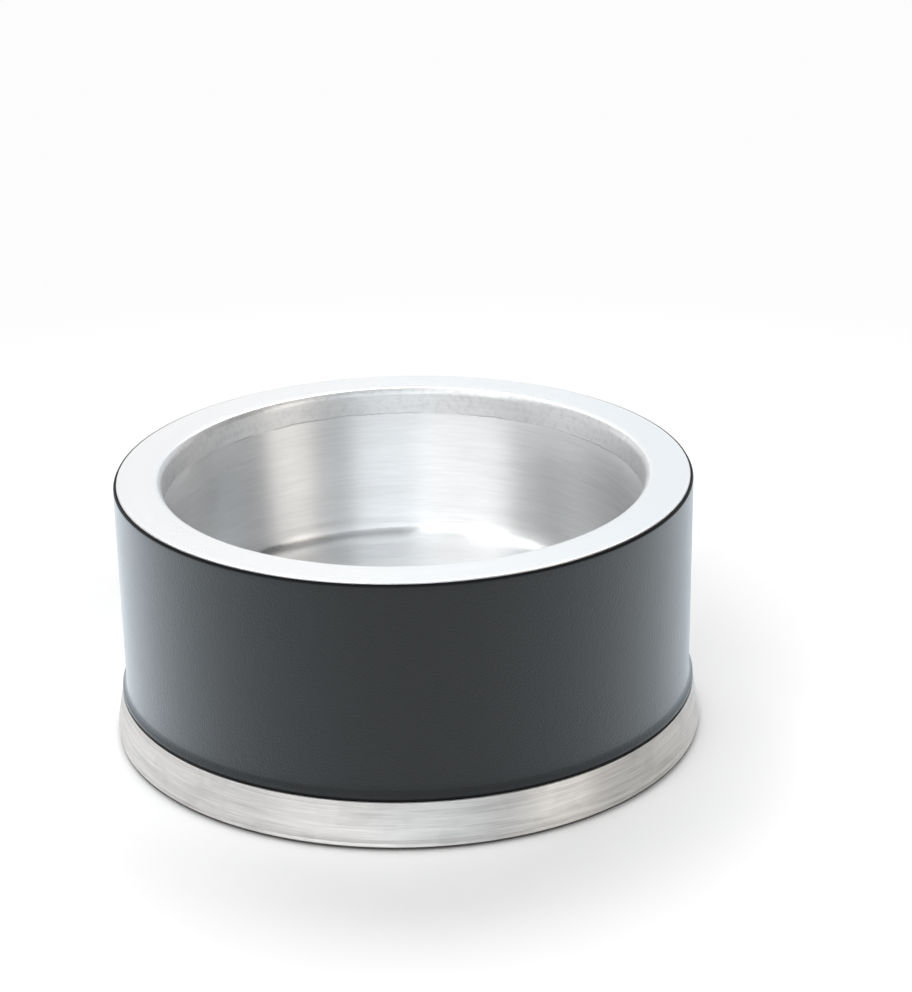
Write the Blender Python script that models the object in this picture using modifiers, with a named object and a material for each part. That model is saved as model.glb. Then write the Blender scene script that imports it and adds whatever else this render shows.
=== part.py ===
"""Insulated dog water bowl: a spun liner in a coated casing, on a flared base pan.

The object stands on z = 0 with its axis on Z. Every turned piece is the section
of one spun or moulded ring, swept round the axis, so the sizes below are radii
and heights above the floor, in millimetres.
"""

import math

import bmesh
import bpy
from mathutils import Matrix, Vector

MM = 0.001
SIDES = 48
PLUG_SIDES = 16
ARC_STEP = math.radians(26)
CLEARANCE = 0.3

# Overall
OVERALL_HEIGHT = 93.5
FOOT_SHOWS = 0.8

# Black casing: a tube with a stop bead rolled round it above the base pan
CASING_RADIUS = 100.0
CASING_TAPER = 0.6
CASING_SHEET = 0.7
CASING_EDGE_ROUND = 0.45
BEAD_FLAT = 1.4
BEAD_SLOPE = math.radians(54)
BEAD_FILLET = 2.5
BEAD_NOSE = 0.8

# Liner: the water bowl itself, with its flat rim and short skirt
LINER_SHEET = 1.2
RIM_WIDTH = 15.3
LINER_DRAFT = 0.8
BOWL_DEPTH = 58.0
FLOOR_FILLET = 10.0
LIP_ROUND = 2.5
RIM_EDGE_ROUND = 0.4
SKIRT_LENGTH = 8.0

# Base pan: a flared ring round the casing's tail with room to ease it on, a rolled
# foot, a groove for the rubber ring and a raised middle
PAN_SHEET = 1.0
PAN_EASE = 0.46
PAN_TOP_HEIGHT = 16.85
PAN_EDGE_ROUND = 0.25
FLARE_REACH = 2.2
FLARE_HEIGHT = 4.4
FLARE_ROUND = 1.5
CREASE_DEPTH = 0.5
HEM_HEIGHT = 2.1
HEM_ROUND = 0.9
HEM_WIDTH = 3.1
LAND_WIDTH = 4.7
LAND_ROUND = 0.6
PANEL_RISE = 6.0
PANEL_SLOPE = 1.5
PANEL_ROUND = 1.0

# Rubber ring under the base
RUBBER_WIDTH = 6.5
RUBBER_THICK = 3.0
RUBBER_ROUND = 0.5

# Sealing beads
RIM_SEALANT_THICK = 2.5
BASE_SEALANT_TALL = 4.5

# Plugs in the pan: one where the foam is poured in, and the vents round it
FILL_HOLE_RADIUS = 6.2
FILL_HEAD_RADIUS = 9.0
FILL_BARB = 0.7
VENT_HOLE_RADIUS = 2.8
VENT_HEAD_RADIUS = 4.6
VENT_BARB = 0.4
VENT_COUNT = 3
VENT_CIRCLE = 58.0
PLUG_HEAD_THICK = 1.6
PLUG_BARB_TALL = 1.6
PLUG_ROUND = 0.6

# The bead reaches out as far as the pan's wall, so that their outsides line up
bead_reach = PAN_EASE + PAN_SHEET

# Heights that follow from the sizes above
groove_floor = RUBBER_THICK + CLEARANCE
groove_top = groove_floor + PAN_SHEET
panel_under = FOOT_SHOWS + PANEL_RISE
panel_top = panel_under + PAN_SHEET
bowl_floor = OVERALL_HEIGHT - BOWL_DEPTH
skirt_bottom = OVERALL_HEIGHT - SKIRT_LENGTH
bead_under = PAN_TOP_HEIGHT + CLEARANCE
bead_shoulder = bead_under + BEAD_FLAT
bead_start = bead_shoulder + bead_reach / math.tan(BEAD_SLOPE)

# Radii that follow from the sizes above
casing_low = CASING_RADIUS - CASING_TAPER
pan_top_radius = casing_low + bead_reach
flare_radius = pan_top_radius + FLARE_REACH
hem_radius = flare_radius - CREASE_DEPTH / 4
groove_outer = hem_radius - HEM_WIDTH
rubber_outer = groove_outer - CLEARANCE
rubber_inner = rubber_outer - RUBBER_WIDTH
groove_inner = rubber_inner - CLEARANCE
land_inner = groove_inner - LAND_WIDTH
panel_radius = land_inner - PANEL_SLOPE


def casing_outside(height):
    """Radius of the casing's outside, which tapers from the rim to its bead."""
    drop = (OVERALL_HEIGHT - height) / (OVERALL_HEIGHT - bead_start)
    return CASING_RADIUS - CASING_TAPER * min(max(drop, 0.0), 1.0)


def casing_inside(height):
    """Radius that everything inside the casing keeps clear of."""
    return casing_outside(height) - CASING_SHEET


def pan_inside(height):
    """Radius of the flared wall's inside at a height."""
    share = (PAN_TOP_HEIGHT - height) / (PAN_TOP_HEIGHT - FLARE_HEIGHT)
    slope = math.atan2(FLARE_REACH, PAN_TOP_HEIGHT - FLARE_HEIGHT)
    return pan_top_radius + FLARE_REACH * share - PAN_SHEET / math.cos(slope)


skirt_radius = casing_inside(skirt_bottom) - CLEARANCE
mouth_radius = skirt_radius - RIM_WIDTH


def offset_corners(corners, distance):
    """Corners of the sheet's hidden side, a sheet's thickness behind the shown side."""
    points = [Vector(corner[:2]) for corner in corners]
    lines = []
    for start, end in zip(points, points[1:]):
        along = (end - start).normalized()
        behind = Vector((along.y, -along.x)) * distance
        lines.append((start + behind, end + behind, along))
    moved = [(*lines[0][0], corners[0][2])]
    for (start, _, first), (_, end, second), corner in zip(lines, lines[1:], corners[1:]):
        turn = first.x * second.y - first.y * second.x
        gap = end - start
        reach = (gap.x * second.y - gap.y * second.x) / turn
        meeting = start + first * reach
        radius = corner[2] + distance if turn > 0 else corner[2] - distance
        moved.append((*meeting, max(radius, 0.0)))
    moved.append((*lines[-1][1], corners[-1][2]))
    return moved


def rounded(corners, closed):
    """Points along corners of (radius, height, rounding), each corner an arc."""
    points = []
    count = len(corners)
    for index, (across, height, rounding) in enumerate(corners):
        here = Vector((across, height))
        is_end = not closed and index in (0, count - 1)
        if rounding <= 0 or is_end:
            points.append(here)
            continue
        before = (Vector(corners[index - 1][:2]) - here).normalized()
        after = (Vector(corners[(index + 1) % count][:2]) - here).normalized()
        turn = math.pi - before.angle(after)
        centre = here + (before + after).normalized() * rounding / math.cos(turn / 2)
        spoke = here + before * rounding * math.tan(turn / 2) - centre
        side = -1 if before.x * after.y - before.y * after.x > 0 else 1
        steps = max(1, round(turn / ARC_STEP))
        for step in range(steps + 1):
            points.append(centre + Matrix.Rotation(side * turn * step / steps, 2) @ spoke)
    return points


def new_object(name, mesh, collection, material=None):
    obj = bpy.data.objects.new(name, mesh)
    collection.objects.link(obj)
    if material:
        mesh.materials.append(material)
    return obj


def finish_material(name, colour, roughness, metallic):
    material = bpy.data.materials.new(name)
    material.use_nodes = True
    shader = material.node_tree.nodes["Principled BSDF"]
    shader.inputs["Base Color"].default_value = (*colour, 1)
    shader.inputs["Roughness"].default_value = roughness
    shader.inputs["Metallic"].default_value = metallic
    return material


def turned(name, corners, material, closed=True, sides=SIDES, place=(0, 0)):
    """A piece swept round its own axis from its section's corners."""
    points = rounded(corners, closed)
    mesh = bpy.data.meshes.new(name)
    edges = [(index, index + 1) for index in range(len(points) - 1)]
    if closed:
        edges.append((len(points) - 1, 0))
    mesh.from_pydata([(point.x * MM, 0, point.y * MM) for point in points], edges, [])
    obj = new_object(name, mesh, pieces, material)
    obj.location = (place[0] * MM, place[1] * MM, 0)
    screw = obj.modifiers.new("Turn", "SCREW")
    screw.axis = "Z"
    screw.angle = math.tau
    screw.steps = sides
    screw.render_steps = sides
    screw.use_merge_vertices = True
    screw.merge_threshold = 0.00001
    screw.use_smooth_shade = True
    obj.modifiers.new("Even shading", "WEIGHTED_NORMAL")
    return obj


def add_cutter(name, radius, low, high, place):
    mesh = bpy.data.meshes.new(name)
    shape = bmesh.new()
    bmesh.ops.create_cone(shape, cap_ends=True, segments=PLUG_SIDES, radius1=radius * MM,
                          radius2=radius * MM, depth=(high - low) * MM)
    shape.to_mesh(mesh)
    shape.free()
    obj = new_object(name, mesh, cutters)
    obj.location = (place[0] * MM, place[1] * MM, (low + high) / 2 * MM)
    obj.hide_render = True
    obj.display_type = "WIRE"
    return obj


def cut(obj, cutter):
    boolean = obj.modifiers.new(cutter.name, "BOOLEAN")
    boolean.operation = "DIFFERENCE"
    boolean.solver = "EXACT"
    boolean.object = cutter


def make_liner():
    shown = [(0, bowl_floor, 0),
             (mouth_radius - LINER_DRAFT, bowl_floor, FLOOR_FILLET),
             (mouth_radius, OVERALL_HEIGHT, LIP_ROUND),
             (skirt_radius, OVERALL_HEIGHT, RIM_EDGE_ROUND),
             (skirt_radius, skirt_bottom, 0)]
    hidden = offset_corners(shown, LINER_SHEET)
    material = finish_material("brushed aluminium inside", (0.78, 0.78, 0.79), 0.32, 1)
    turned("bowl_liner", shown + hidden[::-1], material, closed=False)


def make_casing():
    shown = [(CASING_RADIUS, OVERALL_HEIGHT, CASING_EDGE_ROUND),
             (casing_low, bead_start, BEAD_FILLET),
             (casing_low + bead_reach, bead_shoulder, BEAD_NOSE),
             (casing_low + bead_reach, bead_under, BEAD_NOSE),
             (casing_low, bead_under, 0),
             (casing_low, groove_top + CLEARANCE, 0)]
    hidden = offset_corners(shown, CASING_SHEET)
    hidden[0] = (hidden[0][0], OVERALL_HEIGHT, 0)
    material = finish_material("black powder coat", (0.045, 0.05, 0.055), 0.55, 0)
    turned("outer_casing", shown + hidden[::-1], material)


def pan_middle():
    """Shown corners of the pan's underside, from the rubber's groove to the fill hole."""
    return [(groove_outer, groove_floor, 0),
            (groove_inner, groove_floor, 0),
            (groove_inner, FOOT_SHOWS, LAND_ROUND),
            (land_inner, FOOT_SHOWS, LAND_ROUND),
            (panel_radius, panel_under, PANEL_ROUND),
            (FILL_HOLE_RADIUS, panel_under, 0)]


def make_pan():
    crease = hem_radius - CREASE_DEPTH
    hem_top = FOOT_SHOWS + HEM_HEIGHT
    shown = [(pan_top_radius, PAN_TOP_HEIGHT, PAN_EDGE_ROUND),
             (flare_radius, FLARE_HEIGHT, FLARE_ROUND),
             (crease, hem_top, 0),
             (hem_radius, hem_top - CREASE_DEPTH, 0),
             (hem_radius, FOOT_SHOWS, HEM_ROUND),
             (groove_outer, FOOT_SHOWS, LAND_ROUND),
             (groove_outer, groove_floor, 0)]
    middle = pan_middle()
    hidden = offset_corners(middle, PAN_SHEET)
    wall = [(pan_inside(groove_top), groove_top, 0),
            (pan_inside(PAN_TOP_HEIGHT), PAN_TOP_HEIGHT, 0)]
    material = finish_material("brushed aluminium base", (0.74, 0.73, 0.72), 0.38, 1)
    return turned("base_pan", shown + middle[1:] + hidden[:0:-1] + wall, material)


def make_foam():
    """Rigid foam, poured between liner and casing, with room for the plugs' barbs."""
    liner = offset_corners([(0, bowl_floor, 0),
                            (mouth_radius - LINER_DRAFT, bowl_floor, FLOOR_FILLET),
                            (mouth_radius, OVERALL_HEIGHT, LIP_ROUND),
                            (skirt_radius, OVERALL_HEIGHT, 0)], LINER_SHEET + CLEARANCE)
    land, rise = offset_corners(pan_middle(), PAN_SHEET + CLEARANCE)[3:5]
    neck = skirt_radius - LINER_SHEET - CLEARANCE
    neck_bottom = skirt_bottom - RIM_SEALANT_THICK - 2 * CLEARANCE
    foam_top = liner[2][1]
    foam_bottom = groove_top + CLEARANCE
    middle = panel_top + CLEARANCE
    climb = (foam_bottom - land[1]) / (rise[1] - land[1])
    pocket = FILL_HOLE_RADIUS + FILL_BARB + CLEARANCE
    corners = [liner[0], liner[1], liner[2],
               (neck, foam_top, 0),
               (neck, neck_bottom, 0),
               (casing_inside(neck_bottom) - CLEARANCE, neck_bottom, 0),
               (casing_low - CASING_SHEET - CLEARANCE, bead_start, 0),
               (casing_low - CASING_SHEET - CLEARANCE, foam_bottom, 0),
               (land[0] + (rise[0] - land[0]) * climb, foam_bottom, 0),
               (rise[0], middle, 0),
               (pocket, middle, 0),
               (pocket, middle + PLUG_BARB_TALL + CLEARANCE, 0),
               (0, middle + PLUG_BARB_TALL + CLEARANCE, 0)]
    material = finish_material("rigid foam", (0.86, 0.78, 0.55), 0.9, 0)
    return turned("foam_fill", corners, material, closed=False)


def make_sealants():
    high = skirt_bottom - CLEARANCE
    low = high - RIM_SEALANT_THICK
    outside = casing_inside(low) - CLEARANCE
    inside = skirt_radius - LINER_SHEET
    material = finish_material("grey sealant", (0.55, 0.56, 0.57), 0.6, 0)
    turned("rim_sealant", [(outside, high, 0), (outside, low, 0),
                           (inside, low, 0), (inside, high, 0)], material)
    low = groove_top + CLEARANCE
    high = low + BASE_SEALANT_TALL
    inside = casing_low + CLEARANCE
    turned("base_sealant", [(pan_inside(high) - CLEARANCE, high, 0),
                            (pan_inside(low) - CLEARANCE, low, 0),
                            (inside, low, 0), (inside, high, 0)], material)


def make_foot_ring():
    material = finish_material("black rubber", (0.02, 0.02, 0.02), 0.8, 0)
    turned("foot_ring", [(rubber_outer, RUBBER_THICK, 0),
                         (rubber_outer, 0, RUBBER_ROUND),
                         (rubber_inner, 0, RUBBER_ROUND),
                         (rubber_inner, RUBBER_THICK, 0)], material)


def make_plug(name, hole, head, barb, place, material):
    """A push-in plug: domed head below the panel, stem in its hole, barb above it."""
    seat = panel_under - CLEARANCE
    catch = panel_top + CLEARANCE
    corners = [(0, catch + PLUG_BARB_TALL, 0),
               (hole - CLEARANCE - barb, catch + PLUG_BARB_TALL, 0),
               (hole + barb, catch, 0),
               (hole - CLEARANCE, catch, 0),
               (hole - CLEARANCE, seat, 0),
               (head, seat, 0),
               (head, seat - PLUG_HEAD_THICK, PLUG_ROUND),
               (0, seat - PLUG_HEAD_THICK, 0)]
    turned(name, corners, material, closed=False, sides=PLUG_SIDES, place=place)


def make_plugs(pan, foam):
    material = finish_material("grey plastic", (0.16, 0.16, 0.17), 0.5, 0)
    make_plug("fill_plug", FILL_HOLE_RADIUS, FILL_HEAD_RADIUS, FILL_BARB, (0, 0), material)
    for number in range(VENT_COUNT):
        angle = math.tau * number / VENT_COUNT + math.pi / 2
        place = (VENT_CIRCLE * math.cos(angle), VENT_CIRCLE * math.sin(angle))
        make_plug(f"vent_plug_{number + 1}", VENT_HOLE_RADIUS, VENT_HEAD_RADIUS,
                  VENT_BARB, place, material)
        hole = add_cutter(f"vent_hole_{number + 1}", VENT_HOLE_RADIUS,
                          panel_under - PAN_SHEET, panel_top + PAN_SHEET, place)
        pocket = add_cutter(f"vent_pocket_{number + 1}",
                            VENT_HOLE_RADIUS + VENT_BARB + CLEARANCE, panel_under,
                            panel_top + 2 * CLEARANCE + PLUG_BARB_TALL, place)
        cut(pan, hole)
        cut(foam, pocket)


for old in list(bpy.data.objects):
    bpy.data.objects.remove(old)
pieces = bpy.data.collections.new("insulated_dog_water_bowl")
cutters = bpy.data.collections.new("cutters")
bpy.context.scene.collection.children.link(pieces)
bpy.context.scene.collection.children.link(cutters)

make_liner()
make_casing()
base_pan = make_pan()
foam_fill = make_foam()
make_sealants()
make_foot_ring()
make_plugs(base_pan, foam_fill)
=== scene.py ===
"""Insulated dog water bowl on a pale table: the looks of every piece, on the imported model.

Sizes are in metres. The bowl stands on z = 0 with its axis on Z, and every round piece
is the corners of its section, rounded and spun about that axis.
"""

import math

import bmesh
import bpy
from mathutils import Matrix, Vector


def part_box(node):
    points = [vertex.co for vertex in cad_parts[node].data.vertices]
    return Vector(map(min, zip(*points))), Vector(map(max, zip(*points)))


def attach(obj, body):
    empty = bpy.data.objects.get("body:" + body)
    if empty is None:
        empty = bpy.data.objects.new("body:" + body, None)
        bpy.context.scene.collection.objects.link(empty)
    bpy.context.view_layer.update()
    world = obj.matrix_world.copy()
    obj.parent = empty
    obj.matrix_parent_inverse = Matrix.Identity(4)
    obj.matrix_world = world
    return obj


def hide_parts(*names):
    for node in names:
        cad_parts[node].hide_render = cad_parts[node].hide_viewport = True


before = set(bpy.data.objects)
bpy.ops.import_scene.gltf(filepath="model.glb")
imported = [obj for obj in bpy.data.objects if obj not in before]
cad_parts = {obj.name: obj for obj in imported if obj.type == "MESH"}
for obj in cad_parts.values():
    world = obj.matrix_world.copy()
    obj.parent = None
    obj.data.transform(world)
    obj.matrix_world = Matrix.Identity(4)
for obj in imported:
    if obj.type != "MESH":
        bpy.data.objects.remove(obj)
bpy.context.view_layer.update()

# Bowl liner. One disc of aluminium, spun over a former into the water bowl, then
# rolled over into a broad flat rim and a short skirt that slips inside the casing.
# Its inside is brushed as it turns on the lathe, so the lines run round it.
MM = 0.001
TURN_STEPS = 192
HOLE_STEPS = 48
STRAIGHT_STEP = 2.5 * MM
ARC_STEP = math.radians(7)
SHARP_ANGLE = math.radians(40)
MERGE_WITHIN = 0.001 * MM
RING_SLACK = 1.001

LINER_SHEET = 1.2 * MM
RIM_WIDTH = 15.3 * MM
LINER_DRAFT = 0.8 * MM
FLOOR_FILLET = 10 * MM
LIP_ROUND = 2.5 * MM
RIM_EDGE_ROUND = 0.4 * MM
SKIRT_LENGTH = 8 * MM


def wire_of(corners):
    """A bmesh holding one section as a chain of edges, each corner rounded to its radius."""
    shape = bmesh.new()
    chain = [shape.verts.new((across, 0, height)) for across, height, _ in corners]
    for first, second in zip(chain, chain[1:]):
        shape.edges.new((first, second))
    places = [vertex.co.copy() for vertex in chain]
    for before, here, after, corner, vertex in zip(
            places, places[1:], places[2:], corners[1:], chain[1:]):
        radius = corner[2]
        if radius == 0:
            continue
        turn = math.pi - (before - here).angle(after - here)
        bmesh.ops.bevel(shape, geom=[vertex], offset=radius * math.tan(turn / 2),
                        offset_type="OFFSET", segments=max(2, math.ceil(turn / ARC_STEP)),
                        profile=0.5, affect="VERTICES", material=-1)
    for edge in list(shape.edges):
        cuts = math.ceil(edge.calc_length() / STRAIGHT_STEP) - 1
        if cuts > 0:
            bmesh.ops.subdivide_edges(shape, edges=[edge], cuts=cuts)
    return shape


def spun(name, corners, wall=0.0, centre=(0, 0), steps=TURN_STEPS, holes=()):
    """A piece spun from its section's corners; wall is the thickness of an open sheet.

    With holes, each an x, y and radius, a flat panel with them in it closes the section's
    last ring.
    """
    shape = wire_of(corners)
    bmesh.ops.spin(shape, geom=shape.verts[:] + shape.edges[:], cent=(0, 0, 0),
                   axis=(0, 0, 1), angle=math.tau, steps=steps, use_merge=True)
    bmesh.ops.remove_doubles(shape, verts=shape.verts, dist=MERGE_WITHIN)
    if holes:
        last_across, last_height = corners[-1][:2]
        reach = RING_SLACK * last_across
        ring = [edge for edge in shape.edges if edge.is_boundary
                and all(vertex.co.xy.length < reach for vertex in edge.verts)]
        for x, y, radius in holes:
            hole = bmesh.ops.create_circle(shape, segments=HOLE_STEPS, radius=radius,
                                           matrix=Matrix.Translation((x, y, last_height)))
            ring += {edge for vertex in hole["verts"] for edge in vertex.link_edges}
        bmesh.ops.triangle_fill(shape, edges=ring, use_beauty=True, normal=(0, 0, -1))
    bmesh.ops.recalc_face_normals(shape, faces=shape.faces)
    if wall:
        bmesh.ops.solidify(shape, geom=shape.faces[:], thickness=wall)
    bmesh.ops.translate(shape, verts=shape.verts, vec=(*centre, 0))
    mesh = bpy.data.meshes.new(name)
    shape.to_mesh(mesh)
    shape.free()
    mesh.shade_smooth()
    mesh.set_sharp_from_angle(angle=SHARP_ANGLE)
    piece = bpy.data.objects.new(name, mesh)
    bpy.context.scene.collection.objects.link(piece)
    return piece


def stands_for(piece, node, material):
    """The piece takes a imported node's place, with its finish."""
    piece.data.materials.append(material)
    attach(piece, "root")
    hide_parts(node)


liner_low, liner_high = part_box("bowl_liner")
rim_height = liner_high.z
skirt_radius = liner_high.x
skirt_bottom = rim_height - SKIRT_LENGTH
mouth_radius = skirt_radius - RIM_WIDTH
bowl_floor = liner_low.z + LINER_SHEET

liner = spun("liner", [(0, bowl_floor, 0),
                       (mouth_radius - LINER_DRAFT, bowl_floor, FLOOR_FILLET),
                       (mouth_radius, rim_height, LIP_ROUND),
                       (skirt_radius, rim_height, RIM_EDGE_ROUND),
                       (skirt_radius, skirt_bottom, 0)], wall=LINER_SHEET)


def new_material(name):
    """A material, with its node tree and its shader."""
    material = bpy.data.materials.new(name)
    material.use_nodes = True
    tree = material.node_tree
    return material, tree, tree.nodes["Principled BSDF"]


def add(tree, kind, inputs=(), **settings):
    """The first output of a new node with these settings.

    Its inputs are given by name or number, as values or as sockets to link.
    """
    node = tree.nodes.new(kind)
    for key, value in settings.items():
        setattr(node, key, value)
    for key, value in dict(inputs).items():
        if isinstance(value, bpy.types.NodeSocket):
            tree.links.new(value, node.inputs[key])
        else:
            node.inputs[key].default_value = value
    return node.outputs[0]


def arithmetic(tree, operation, first, second=0.0):
    return add(tree, "ShaderNodeMath", {0: first, 1: second}, operation=operation)


def object_place(tree):
    return add(tree, "ShaderNodeTexCoord").node.outputs["Object"]


def height_of(tree, place):
    return add(tree, "ShaderNodeSeparateXYZ", {0: place}).node.outputs["Z"]


def lathe_space(tree, around, along):
    """Coordinates that run round the axis, and along the section at right angles to it.

    around is the count of features in a radian, along the count of them in a metre.
    """
    place = object_place(tree)
    flat = add(tree, "ShaderNodeVectorMath", {0: place, 1: (1, 1, 0)}, operation="MULTIPLY")
    spoke = add(tree, "ShaderNodeVectorMath", {0: flat}, operation="NORMALIZE")
    length = add(tree, "ShaderNodeVectorMath", {0: flat}, operation="LENGTH").node
    travel = arithmetic(tree, "ADD", length.outputs["Value"], height_of(tree, place))
    ring = add(tree, "ShaderNodeVectorMath", {0: spoke, "Scale": around}, operation="SCALE")
    rise = add(tree, "ShaderNodeCombineXYZ",
               {"Z": arithmetic(tree, "MULTIPLY", travel, along)})
    return add(tree, "ShaderNodeVectorMath", {0: ring, 1: rise}, operation="ADD")


def noise(tree, vector, scale, detail=2.0, roughness=0.5):
    return add(tree, "ShaderNodeTexNoise", {"Vector": vector, "Scale": scale,
                                            "Detail": detail, "Roughness": roughness})


def ramp(tree, value, low, high, to_low=0.0, to_high=1.0, kind="SMOOTHSTEP"):
    """The value with low to high stretched onto to_low to to_high, and held past the ends."""
    return add(tree, "ShaderNodeMapRange", {"Value": value, "From Min": low,
                                            "From Max": high, "To Min": to_low,
                                            "To Max": to_high}, interpolation_type=kind)


def mixed_colour(tree, factor, first, second):
    mix = add(tree, "ShaderNodeMix", {0: factor, 6: (*first, 1), 7: (*second, 1)},
              data_type="RGBA").node
    return mix.outputs[2]


NOISE_LOW = 0.3
NOISE_HIGH = 0.7
QUARTER_TURN = 0.25
FINE_IN_RADIAN = 5
BROAD_IN_RADIAN = 1.5
BROAD_TO_FINE = 5
BROAD_SHARE = 0.35
ROUGHNESS_SPREAD = 0.04
LINER_COLOUR = (0.90, 0.905, 0.91)
LINER_ROUGHNESS = 0.46
LINER_LINE = 0.9 * MM
LINER_DEPTH = 0.02 * MM
LINER_TONE = 0.12
LINER_DRAWN_OUT = 1.0
# The polished floor is smoother, and its paler colour is a painted highlight.
POLISH_HIGHLIGHT_COLOUR = (0.95, 0.955, 0.96)
POLISH_ROUGHNESS = 0.24
POLISH_FULL = 0.3 * FLOOR_FILLET
POLISH_END = 0.6 * FLOOR_FILLET
SCRATCH_WIDTH = 0.4 * MM
SCRATCH_SHAKE = 2.2 * MM
SCRATCH_DEPTH = 0.07 * MM
SCRATCH_TONE = 0.35
SHAKES_IN_RADIAN = 9
PATCHES_IN_RADIAN = 4
PATCH_START = 0.42
PATCH_FULL = 0.55
STRIP_HEIGHT = 9.5 * MM
STRIP_COLOUR = (0.76, 0.765, 0.77)
STRIP_ROUGHNESS = 0.46
STRIP_DEPTH = 0.004 * MM
STRIP_TONE = 0.12
STRIP_DRAWN_OUT = 0.85
SATIN_LINE = 0.5 * MM
MOTTLE_SIZE = 2.2 * MM
MOTTLE_START = 0.45
MOTTLE_SHARE = 0.3
RIM_FACING = 0.9
RIM_COLOUR = (0.85, 0.855, 0.86)
RIM_ROUGHNESS = 0.24
RIM_DEPTH = STRIP_DEPTH / 7
RIM_TONE = 0.03
RIM_DRAWN_OUT = 0.2


def brushed(name, colour, roughness, line, depth, tone, drawn_out, marks=None, polished=None):
    """Aluminium brushed round the axis: a highlight drawn out across the brush lines.

    tone is how much darker the deepest lines are. marks and polished are functions of the
    node tree that give 1 on a scratch or stain, and 1 where the metal is polished smoother
    and painted paler as a highlight.
    """
    material, tree, shader = new_material(name)
    shader.inputs["Metallic"].default_value = 1
    shader.inputs["Anisotropic"].default_value = drawn_out
    shader.inputs["Anisotropic Rotation"].default_value = QUARTER_TURN
    tangent = add(tree, "ShaderNodeTangent", direction_type="RADIAL", axis="Z")
    tree.links.new(tangent, shader.inputs["Tangent"])
    fine = noise(tree, lathe_space(tree, FINE_IN_RADIAN, 1 / line), 1, detail=4, roughness=0.65)
    broad = noise(tree, lathe_space(tree, BROAD_IN_RADIAN, 1 / (BROAD_TO_FINE * line)), 1)
    lines = add(tree, "ShaderNodeMix", {0: BROAD_SHARE, 2: fine, 3: broad})
    spread = ramp(tree, lines, NOISE_LOW, NOISE_HIGH, roughness + ROUGHNESS_SPREAD,
                  roughness - ROUGHNESS_SPREAD, "LINEAR")
    shade = ramp(tree, lines, NOISE_LOW, NOISE_HIGH, 1 - tone, 1, "LINEAR")
    surface = arithmetic(tree, "MULTIPLY", lines, depth)
    metal = colour
    if polished:
        share = polished(tree)
        metal = mixed_colour(tree, share, colour, POLISH_HIGHLIGHT_COLOUR)
        smoother = arithmetic(tree, "MULTIPLY", share, roughness - POLISH_ROUGHNESS)
        spread = arithmetic(tree, "SUBTRACT", spread, smoother)
    if marks:
        mark = marks(tree)
        darker = ramp(tree, mark, 0, 1, 1, 1 - SCRATCH_TONE, "LINEAR")
        shade = arithmetic(tree, "MULTIPLY", shade, darker)
        dug = arithmetic(tree, "MULTIPLY", mark, SCRATCH_DEPTH)
        surface = arithmetic(tree, "SUBTRACT", surface, dug)
    tree.links.new(spread, shader.inputs["Roughness"])
    paint = add(tree, "ShaderNodeVectorMath", {0: metal, "Scale": shade}, operation="SCALE")
    tree.links.new(paint, shader.inputs["Base Color"])
    bump = add(tree, "ShaderNodeBump", {"Height": surface, "Strength": 1, "Distance": 1})
    tree.links.new(bump, shader.inputs["Normal"])
    return material


def strip_scratch(tree):
    """The shaky line that the polishing left along the lower edge of the satin strip."""
    shake = noise(tree, lathe_space(tree, SHAKES_IN_RADIAN, 0), 1, detail=5, roughness=0.7)
    line = arithmetic(tree, "ADD", arithmetic(tree, "MULTIPLY", shake, SCRATCH_SHAKE),
                      rim_height - STRIP_HEIGHT - SCRATCH_SHAKE / 2)
    height = height_of(tree, object_place(tree))
    away = arithmetic(tree, "ABSOLUTE", arithmetic(tree, "SUBTRACT", height, line))
    here = ramp(tree, away, 0, SCRATCH_WIDTH, 1, 0)
    patches = ramp(tree, noise(tree, lathe_space(tree, PATCHES_IN_RADIAN, 0), 1),
                   PATCH_START, PATCH_FULL)
    return arithmetic(tree, "MULTIPLY", here, patches)


def strip_marks(tree):
    """The shaky line, and the mottled look of metal that was only lightly polished."""
    mottle = noise(tree, object_place(tree), 1 / MOTTLE_SIZE, detail=3, roughness=0.6)
    faint = ramp(tree, mottle, MOTTLE_START, NOISE_HIGH, 0, MOTTLE_SHARE)
    return arithmetic(tree, "MAXIMUM", strip_scratch(tree), faint)


def polished_floor_highlight(tree):
    """1 on the bowl's floor, polished smoother and painted paler as a highlight, fading out
    halfway up the fillet.
    """
    return ramp(tree, height_of(tree, object_place(tree)), bowl_floor + POLISH_FULL,
                bowl_floor + POLISH_END, 1, 0)


liner_metal = brushed("liner aluminium", LINER_COLOUR, LINER_ROUGHNESS, LINER_LINE,
                      LINER_DEPTH, LINER_TONE, LINER_DRAWN_OUT, strip_scratch,
                      polished_floor_highlight)
strip_metal = brushed("satin strip", STRIP_COLOUR, STRIP_ROUGHNESS, SATIN_LINE,
                      STRIP_DEPTH, STRIP_TONE, STRIP_DRAWN_OUT, strip_marks)
rim_metal = brushed("satin rim", RIM_COLOUR, RIM_ROUGHNESS, SATIN_LINE,
                    RIM_DEPTH, RIM_TONE, RIM_DRAWN_OUT)
stands_for(liner, "bowl_liner", liner_metal)
for metal in (strip_metal, rim_metal):
    liner.data.materials.append(metal)
for face in liner.data.polygons:
    if face.center.z > rim_height - STRIP_HEIGHT:
        face.material_index = 2 if face.normal.z > RIM_FACING else 1

# Foam and sealant. The foam is poured between liner and casing and sets hard, and a
# bead of sealant closes each joint. Nothing of them shows once the bowl is closed.
FOAM_DARK = (0.80, 0.70, 0.45)
FOAM_PALE = (0.92, 0.85, 0.64)
FOAM_GRAINS = 900
FOAM_ROUGHNESS = 0.9
FOAM_RELIEF = 0.2 * MM
SEALANT_DARK = (0.50, 0.51, 0.52)
SEALANT_PALE = (0.60, 0.61, 0.62)
SEALANT_GRAINS = 300
SEALANT_ROUGHNESS = 0.5


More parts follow.
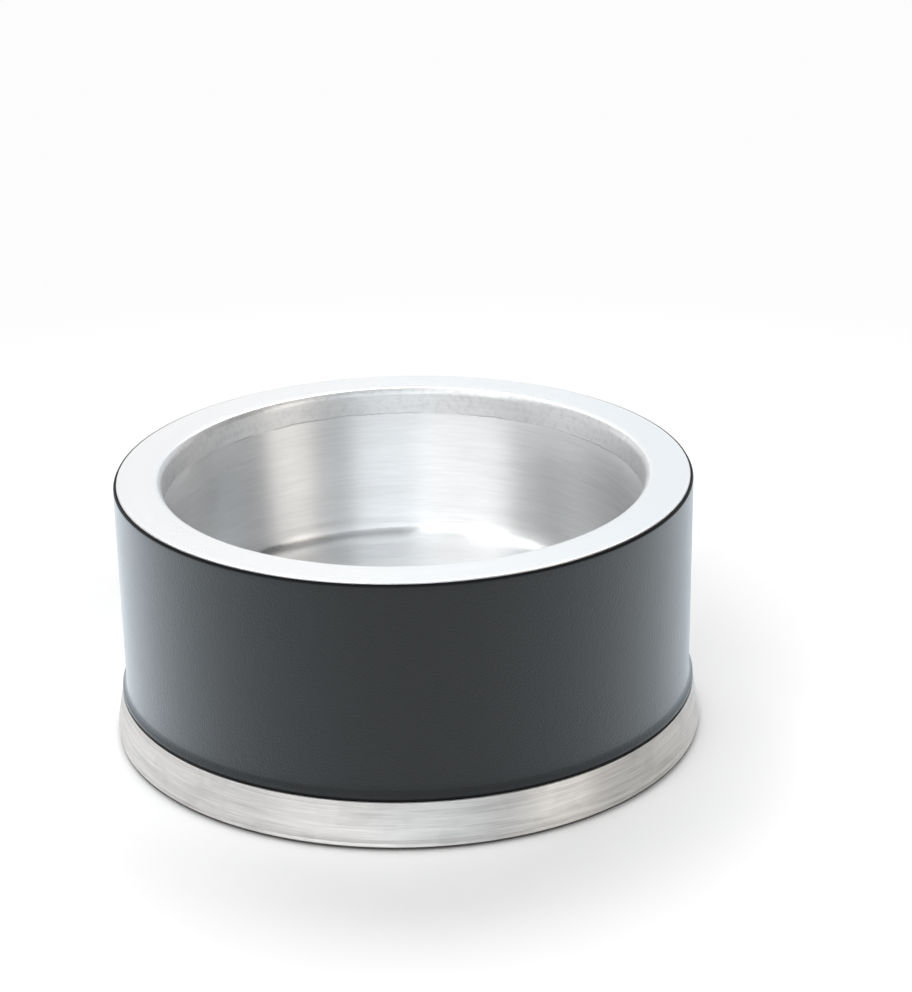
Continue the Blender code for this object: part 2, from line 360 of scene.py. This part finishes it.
def mottled(name, first, second, grains, roughness, depth=0.0):
    """A plain finish whose colour and surface vary a little, with so many grains a metre."""
    material, tree, shader = new_material(name)
    grain = noise(tree, object_place(tree), grains, detail=3)
    tree.links.new(mixed_colour(tree, grain, first, second), shader.inputs["Base Color"])
    shader.inputs["Roughness"].default_value = roughness
    if depth:
        bump = add(tree, "ShaderNodeBump", {"Height": grain, "Strength": 1,
                                            "Distance": depth})
        tree.links.new(bump, shader.inputs["Normal"])
    return material


def refinish(node, material):
    """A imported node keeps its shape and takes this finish."""
    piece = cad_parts[node]
    piece.data.materials.clear()
    piece.data.materials.append(material)


refinish("foam_fill",
         mottled("rigid foam", FOAM_DARK, FOAM_PALE, FOAM_GRAINS, FOAM_ROUGHNESS, FOAM_RELIEF))
sealant = mottled("grey sealant", SEALANT_DARK, SEALANT_PALE, SEALANT_GRAINS,
                  SEALANT_ROUGHNESS)
for bead in ("rim_sealant", "base_sealant"):
    refinish(bead, sealant)

# Outer casing. An aluminium tube under a matte black powder coat, with a bead rolled
# round it low down that stops it on the base pan. Along its top edge and in the groove
# under the bead the coat has no bloom, so it reads darker: painted shade.
CASING_SHEET = 0.7 * MM
CASING_TAPER = 0.6 * MM
EDGE_IN = 0.55 * MM
EDGE_START = 0.3 * MM
EDGE_DOWN = 1.3 * MM
EDGE_ROUND = 0.9 * MM
BEAD_REACH = 1.46 * MM
BEAD_FLAT = 1.4 * MM
BEAD_SLOPE = math.radians(54)
BEAD_FILLET = 2.5 * MM
BEAD_NOSE = 0.7 * MM
SEAT_GAP = 0.3 * MM
# Heights that bound the painted shade under the bead and along the top edge.
SHADED_UNDER_BEAD = 0.75 * BEAD_FLAT
SHADED_TOP_EDGE = 0.55 * EDGE_DOWN
COAT_BLACK = (0.004, 0.0045, 0.005)
COAT_GREY = (0.007, 0.0075, 0.008)
COAT_SMOOTH = 0.46
COAT_ROUGH = 0.54
COAT_SHINE = 0.08
SHADED_EDGE_SHINE = 0.06
BLOOM_TINT = (0.86, 0.94, 1.0)
BLOOM_ROUGHNESS = 0.49
PEEL_SIZE = 0.55 * MM
CLOUD_SIZE = 14 * MM
COAT_RELIEF = 0.13 * MM

casing_low, casing_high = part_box("outer_casing")
pan_low, pan_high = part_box("base_pan")
bead_radius = casing_high.x
tail_radius = bead_radius - BEAD_REACH
casing_radius = tail_radius + CASING_TAPER
bead_under = pan_high.z + SEAT_GAP
bead_shoulder = bead_under + BEAD_FLAT
bead_start = bead_shoulder + BEAD_REACH / math.tan(BEAD_SLOPE)

casing = spun("casing", [(casing_radius - EDGE_IN, rim_height - EDGE_START, 0),
                         (casing_radius, rim_height - EDGE_DOWN, EDGE_ROUND),
                         (tail_radius, bead_start, BEAD_FILLET),
                         (bead_radius, bead_shoulder, BEAD_NOSE),
                         (bead_radius, bead_under, BEAD_NOSE),
                         (tail_radius, bead_under, 0),
                         (tail_radius, casing_low.z, 0)], wall=CASING_SHEET)


def powder_coat(name, shine, bloom):
    """Matte black with a fine orange peel and a dusty bloom at a low angle."""
    material, tree, shader = new_material(name)
    place = object_place(tree)
    peel = noise(tree, place, 1 / PEEL_SIZE)
    cloud = noise(tree, place, 1 / CLOUD_SIZE, detail=3, roughness=0.6)
    tree.links.new(mixed_colour(tree, cloud, COAT_BLACK, COAT_GREY),
                   shader.inputs["Base Color"])
    tree.links.new(ramp(tree, cloud, NOISE_LOW, NOISE_HIGH, COAT_SMOOTH, COAT_ROUGH),
                   shader.inputs["Roughness"])
    bump = add(tree, "ShaderNodeBump", {"Height": peel, "Strength": 1,
                                        "Distance": COAT_RELIEF})
    tree.links.new(bump, shader.inputs["Normal"])
    shader.inputs["Specular IOR Level"].default_value = shine
    shader.inputs["Sheen Weight"].default_value = bloom
    shader.inputs["Sheen Roughness"].default_value = BLOOM_ROUGHNESS
    shader.inputs["Sheen Tint"].default_value = (*BLOOM_TINT, 1)
    return material


stands_for(casing, "outer_casing",
           powder_coat("black powder coat", COAT_SHINE, bloom=1.0))
casing.data.materials.append(powder_coat("coat edge painted shade", SHADED_EDGE_SHINE, bloom=0.0))
# Painted shade: the top edge and the groove under the bead take the coat without its bloom.
for face in casing.data.polygons:
    if not bead_under + SHADED_UNDER_BEAD < face.center.z < rim_height - SHADED_TOP_EDGE:
        face.material_index = 1

# Base pan. One pressed aluminium sheet: a flared ring with a rolled foot, a groove for
# the rubber ring and a raised middle with the pouring hole and three vents in it. Where
# the hem turns under at its foot it is painted near black, a painted contact shadow.
PAN_SHEET = 1.0 * MM
PAN_EDGE_ROUND = 0.25 * MM
FLARE_REACH = 2.2 * MM
FLARE_HEIGHT = 4.4 * MM
FLARE_ROUND = 1.5 * MM
CREASE_DEPTH = 0.5 * MM
HEM_HEIGHT = 2.1 * MM
HEM_ROUND = 0.9 * MM
# Height up the foot to which the painted contact shadow on the hem reaches.
HEM_SHADOW_HEIGHT = 1.1 * MM
RUBBER_WIDTH = 6.5 * MM
LAND_WIDTH = 4.7 * MM
LAND_ROUND = 0.6 * MM
PANEL_SLOPE = 1.5 * MM
PANEL_ROUND = 1.0 * MM
PANEL_MARGIN = 2.0 * MM
PLUG_HEAD = 1.6 * MM
FILL_HOLE = 6.2 * MM
VENT_HOLE = 2.8 * MM
VENT_PLUGS = ("vent_plug_1", "vent_plug_2", "vent_plug_3")
PAN_COLOUR = (0.77, 0.76, 0.75)
PAN_ROUGHNESS = 0.48
PAN_LINE = 0.45 * MM
PAN_DEPTH = 0.04 * MM
PAN_TONE = 0.37
PAN_DRAWN_OUT = 0.9
STAIN_SIZE = 14 * MM
STAIN_START = 0.5
STAIN_FULL = 0.62
STAIN_SHARE = 0.2
# Near-black colours of the painted contact shadow on the hem.
HEM_SHADOW_BLACK = (0.02, 0.018, 0.016)
HEM_SHADOW_GREY = (0.05, 0.046, 0.042)
HEM_GRAINS = 600
HEM_ROUGHNESS = 0.7

rubber_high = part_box("foot_ring")[1]
plug_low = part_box("fill_plug")[0]
flare_radius = bead_radius + FLARE_REACH
hem_radius = flare_radius - CREASE_DEPTH / 4
hem_top = pan_low.z + HEM_HEIGHT
hem_shadow_top = pan_low.z + HEM_SHADOW_HEIGHT
groove_outer = rubber_high.x + SEAT_GAP
groove_inner = groove_outer - RUBBER_WIDTH - 2 * SEAT_GAP
groove_floor = rubber_high.z + SEAT_GAP
land_inner = groove_inner - LAND_WIDTH
panel_under = plug_low.z + PLUG_HEAD + SEAT_GAP

holes = [(0, 0, FILL_HOLE)]
for node in VENT_PLUGS:
    low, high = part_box(node)
    middle = (low + high) / 2
    holes.append((middle.x, middle.y, VENT_HOLE))

pan = spun("pan", [(bead_radius, pan_high.z, PAN_EDGE_ROUND),
                   (flare_radius, FLARE_HEIGHT, FLARE_ROUND),
                   (flare_radius - CREASE_DEPTH, hem_top, 0),
                   (hem_radius, hem_top - CREASE_DEPTH, 0),
                   (hem_radius, hem_shadow_top, 0),
                   (hem_radius, pan_low.z, HEM_ROUND),
                   (groove_outer, pan_low.z, LAND_ROUND),
                   (groove_outer, groove_floor, 0),
                   (groove_inner, groove_floor, 0),
                   (groove_inner, pan_low.z, LAND_ROUND),
                   (land_inner, pan_low.z, LAND_ROUND),
                   (land_inner - PANEL_SLOPE, panel_under, PANEL_ROUND),
                   (land_inner - PANEL_SLOPE - PANEL_MARGIN, panel_under, 0)],
           wall=PAN_SHEET, holes=holes)


def pan_stains(tree):
    """Faint cloudy stains that the pan's brushing left."""
    cloud = noise(tree, object_place(tree), 1 / STAIN_SIZE, detail=3)
    return ramp(tree, cloud, STAIN_START, STAIN_FULL, 0, STAIN_SHARE)


pan_metal = brushed("base aluminium", PAN_COLOUR, PAN_ROUGHNESS, PAN_LINE, PAN_DEPTH,
                    PAN_TONE, PAN_DRAWN_OUT, pan_stains)
stands_for(pan, "base_pan", pan_metal)
pan.data.materials.append(mottled("hem painted shadow", HEM_SHADOW_BLACK, HEM_SHADOW_GREY, HEM_GRAINS, HEM_ROUGHNESS))
# Painted shadow: the hem's outer faces low down take a near-black finish.
for face in pan.data.polygons:
    outside = face.center.xy.length > groove_outer + LAND_ROUND
    if outside and face.center.z < hem_shadow_top:
        face.material_index = 1

# Rubber ring. A moulded ring of black rubber, pressed into the pan's groove, which the
# bowl stands on.
RUBBER_ROUND = 0.5 * MM
RUBBER_BLACK = (0.018, 0.018, 0.018)
RUBBER_GREY = (0.028, 0.028, 0.027)
RUBBER_GRAINS = 600
RUBBER_ROUGHNESS = 0.75
RUBBER_RELIEF = 0.03 * MM

rubber_inner = rubber_high.x - RUBBER_WIDTH
rubber_ring = spun("rubber_foot", [(rubber_high.x, rubber_high.z, 0),
                                   (rubber_high.x, 0, RUBBER_ROUND),
                                   (rubber_inner, 0, RUBBER_ROUND),
                                   (rubber_inner, rubber_high.z, 0),
                                   (rubber_high.x, rubber_high.z, 0)])
stands_for(rubber_ring, "foot_ring",
           mottled("black rubber", RUBBER_BLACK, RUBBER_GREY, RUBBER_GRAINS,
                   RUBBER_ROUGHNESS, RUBBER_RELIEF))

# Plugs. Moulded plastic plugs, pushed in from below and held by a barb, close the
# pouring hole and the three vents in the pan's panel.
PLUG_BARB = 1.6 * MM
PLUG_ROUND = 0.6 * MM
FILL_PLUG_LIP = 0.7 * MM
VENT_PLUG_LIP = 0.4 * MM
PLASTIC_DARK = (0.10, 0.10, 0.105)
PLASTIC_GREY = (0.13, 0.13, 0.135)
PLASTIC_GRAINS = 500
PLASTIC_ROUGHNESS = 0.45
PLASTIC_RELIEF = 0.01 * MM

plug_plastic = mottled("grey plastic", PLASTIC_DARK, PLASTIC_GREY, PLASTIC_GRAINS,
                       PLASTIC_ROUGHNESS, PLASTIC_RELIEF)
for node in ("fill_plug", *VENT_PLUGS):
    is_vent = node in VENT_PLUGS
    hole = VENT_HOLE if is_vent else FILL_HOLE
    lip = VENT_PLUG_LIP if is_vent else FILL_PLUG_LIP
    low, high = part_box(node)
    middle = (low + high) / 2
    head = (high.x - low.x) / 2
    stem = hole - SEAT_GAP
    plug = spun(node.replace("_plug", "_hole_plug"),
                [(0, high.z, 0),
                 (stem - lip, high.z, 0),
                 (hole + lip, high.z - PLUG_BARB, 0),
                 (stem, high.z - PLUG_BARB, 0),
                 (stem, low.z + PLUG_HEAD, 0),
                 (head, low.z + PLUG_HEAD, 0),
                 (head, low.z, PLUG_ROUND),
                 (0, low.z, 0)], centre=(middle.x, middle.y), steps=HOLE_STEPS)
    stands_for(plug, node, plug_plastic)

# Studio. A pale table that runs back to a white background, lit by soft panels all
# round that the metal shows as streaks. The panels belong to the world's light.
TABLE_RADIUS = 5.0
TABLE_STEPS = 96
TABLE_COLOUR = (0.93, 0.925, 0.92)
TABLE_ROUGHNESS = 0.8
TABLE_SHINE = 0.2
WHITE_FROM = 0.16
WHITE_TO = 0.55
WHITE_LEVEL = 0.975

disc = bmesh.new()
bmesh.ops.create_circle(disc, cap_ends=True, segments=TABLE_STEPS, radius=TABLE_RADIUS)
table_mesh = bpy.data.meshes.new("table")
disc.to_mesh(table_mesh)
disc.free()
table = bpy.data.objects.new("table", table_mesh)
bpy.context.scene.collection.objects.link(table)

table_finish, tree, shader = new_material("table")
shader.inputs["Base Color"].default_value = (*TABLE_COLOUR, 1)
shader.inputs["Roughness"].default_value = TABLE_ROUGHNESS
shader.inputs["Specular IOR Level"].default_value = TABLE_SHINE
white = add(tree, "ShaderNodeEmission", {"Color": (1, 1, 1, 1), "Strength": WHITE_LEVEL})
rays = add(tree, "ShaderNodeLightPath").node.outputs
seen = arithmetic(tree, "MAXIMUM", rays["Is Camera Ray"], rays["Is Glossy Ray"])
distance = add(tree, "ShaderNodeVectorMath", {0: object_place(tree)},
               operation="LENGTH").node.outputs["Value"]
far = ramp(tree, distance, WHITE_FROM, WHITE_TO)
surface = add(tree, "ShaderNodeMixShader", {0: arithmetic(tree, "MULTIPLY", seen, far),
                                            1: shader.outputs[0], 2: white})
tree.links.new(surface, tree.nodes["Material Output"].inputs["Surface"])
table.data.materials.append(table_finish)

# Each panel: its two sides in degrees round the object from the camera's side, positive
# to the right, its lower and upper edge in degrees of elevation, tint and strength.
AMBIENT = (0.026, 0.029, 0.032)
EDGE_SOFTNESS = 3.0
HALF_CIRCLE = 180
WHITE = (1.0, 1.0, 1.0)
COOL = (0.93, 0.97, 1.0)
WARM = (1.0, 0.95, 0.89)
PANELS = (
    ("back left", -180, -135, -10, 34, WHITE, 0.95),
    ("back right", 135, 180, -10, 34, COOL, 0.95),
    ("back high", -215, -140, 37, 64, WHITE, 3.9),
    ("left horizon", -135, -60, -10, 12, WHITE, 3.2),
    ("left gap", -84, -58, 12, 50, COOL, 0.45),
    ("left side", -100, -84, 12, 60, WARM, 0.4),
    ("left high", -140, -54, 50, 72, WHITE, 1.9),
    ("key low", -58, -12, 12, 30, WHITE, 2.6),
    ("key mid", -58, -12, 30, 50, WHITE, 3.1),
    ("key high", -54, -12, 50, 90, WHITE, 1.2),
    ("front low", -12, 25, 12, 30, COOL, 3.7),
    ("front mid", -12, 25, 30, 46, COOL, 2.4),
    ("right gap", 25, 46, 12, 50, COOL, 1.4),
    ("warm low", 46, 70, 12, 30, WARM, 4.6),
    ("warm mid", 46, 70, 30, 50, WARM, 1.2),
    ("right horizon", 50, 135, -10, 12, WARM, 1.6),
    ("overhead", -190, 190, 72, 95, WHITE, 0.3),
)

world = bpy.data.worlds.new("studio")
world.use_nodes = True
bpy.context.scene.world = world
tree = world.node_tree
towards = add(tree, "ShaderNodeTexCoord").node.outputs["Generated"]
parts = add(tree, "ShaderNodeSeparateXYZ", {0: towards}).node.outputs
backwards = arithmetic(tree, "MULTIPLY", parts["Y"], -1)
around = arithmetic(tree, "DEGREES", arithmetic(tree, "ARCTAN2", parts["X"], backwards))
upward = arithmetic(tree, "DEGREES", arithmetic(tree, "ARCSINE", parts["Z"]))


def between(tree, value, low, high):
    """1 between two angles, falling softly to 0 outside them, the full circle being closed."""
    off = arithmetic(tree, "SUBTRACT", value, (low + high) / 2)
    half = (high - low) / 2
    return ramp(tree, arithmetic(tree, "PINGPONG", off, HALF_CIRCLE), half - EDGE_SOFTNESS,
                half + EDGE_SOFTNESS, 1, 0)


light = add(tree, "ShaderNodeRGB")
light.default_value = (*AMBIENT, 1)
for name, left, right, lower, upper, tint, strength in PANELS:
    share = arithmetic(tree, "MULTIPLY", between(tree, around, left, right),
                       between(tree, upward, lower, upper))
    glow = tuple(strength * part for part in tint)
    panel = add(tree, "ShaderNodeVectorMath", {0: glow, "Scale": share}, operation="SCALE",
                label=name)
    light = add(tree, "ShaderNodeVectorMath", {0: light, 1: panel}, operation="ADD")
camera_ray = add(tree, "ShaderNodeLightPath").node.outputs["Is Camera Ray"]
shown = add(tree, "ShaderNodeMix", {0: camera_ray, 6: light, 7: (1, 1, 1, 1)},
            data_type="RGBA").node.outputs[2]
tree.links.new(shown, tree.nodes["Background"].inputs["Color"])

# Camera. It looks down at the bowl from the front, a metre from the rim's middle, and
# is turned a little so that the bowl stands left of the picture's middle.
CAMERA_DISTANCE = 0.9943
CAMERA_ELEVATION = math.radians(21.075)
CAMERA_YAW = math.radians(1.112)
CAMERA_PITCH = CAMERA_ELEVATION + math.radians(0.548)
CAMERA_ROLL = math.radians(-0.932)
CAMERA_LENS = 104.36

camera = bpy.data.objects.new("camera", bpy.data.cameras.new("camera"))
camera.data.lens = CAMERA_LENS
camera.matrix_world = (
    Matrix.Translation((0, -CAMERA_DISTANCE * math.cos(CAMERA_ELEVATION),
                        rim_height + CAMERA_DISTANCE * math.sin(CAMERA_ELEVATION)))
    @ Matrix.Rotation(-CAMERA_YAW, 4, "Z")
    @ Matrix.Rotation(math.pi / 2 - CAMERA_PITCH, 4, "X")
    @ Matrix.Rotation(CAMERA_ROLL, 4, "Z"))
bpy.context.scene.collection.objects.link(camera)
bpy.context.scene.camera = camera
bpy.context.scene.view_settings.view_transform = "Standard"
